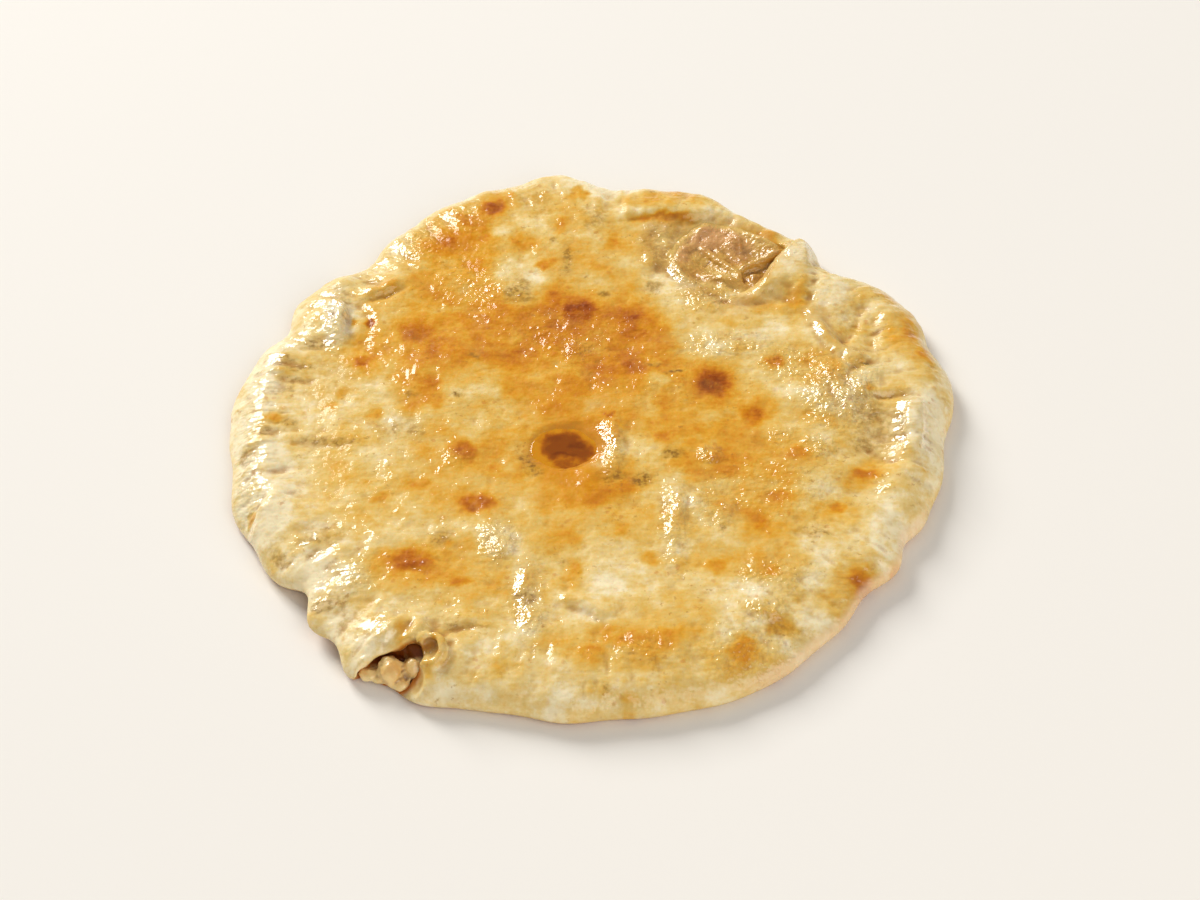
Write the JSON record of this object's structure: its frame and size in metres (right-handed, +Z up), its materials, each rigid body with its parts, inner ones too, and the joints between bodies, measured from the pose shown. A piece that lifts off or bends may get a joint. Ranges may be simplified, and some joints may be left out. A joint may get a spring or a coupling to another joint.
{
  "type": "kubdari",
  "caption": "Round filled flatbread: thin browned dough wrapped round spiced meat, with a butter-filled vent, a tear in the rim and a burst in the top",
  "frame": {"origin": "middle of the bread's box, on the flat underside it rests on", "axes": "+Z is up, through the bread's thickness; -Y is the front, the side nearest the viewer in the picture, with the vent near the middle and the rim's tear at the front left; +X is to the viewer's right"},
  "size_m": [0.263, 0.272, 0.0163],
  "materials": {
    "dough": "baked dough, pale to golden brown, wet with melted butter",
    "filling": "cooked meat, moist",
    "butter": "melted butter, clear amber, wet"
  },
  "bodies": {
    "root": {"dough": "dough", "filling": "filling", "butter": "butter"}
  },
  "joints": []
}
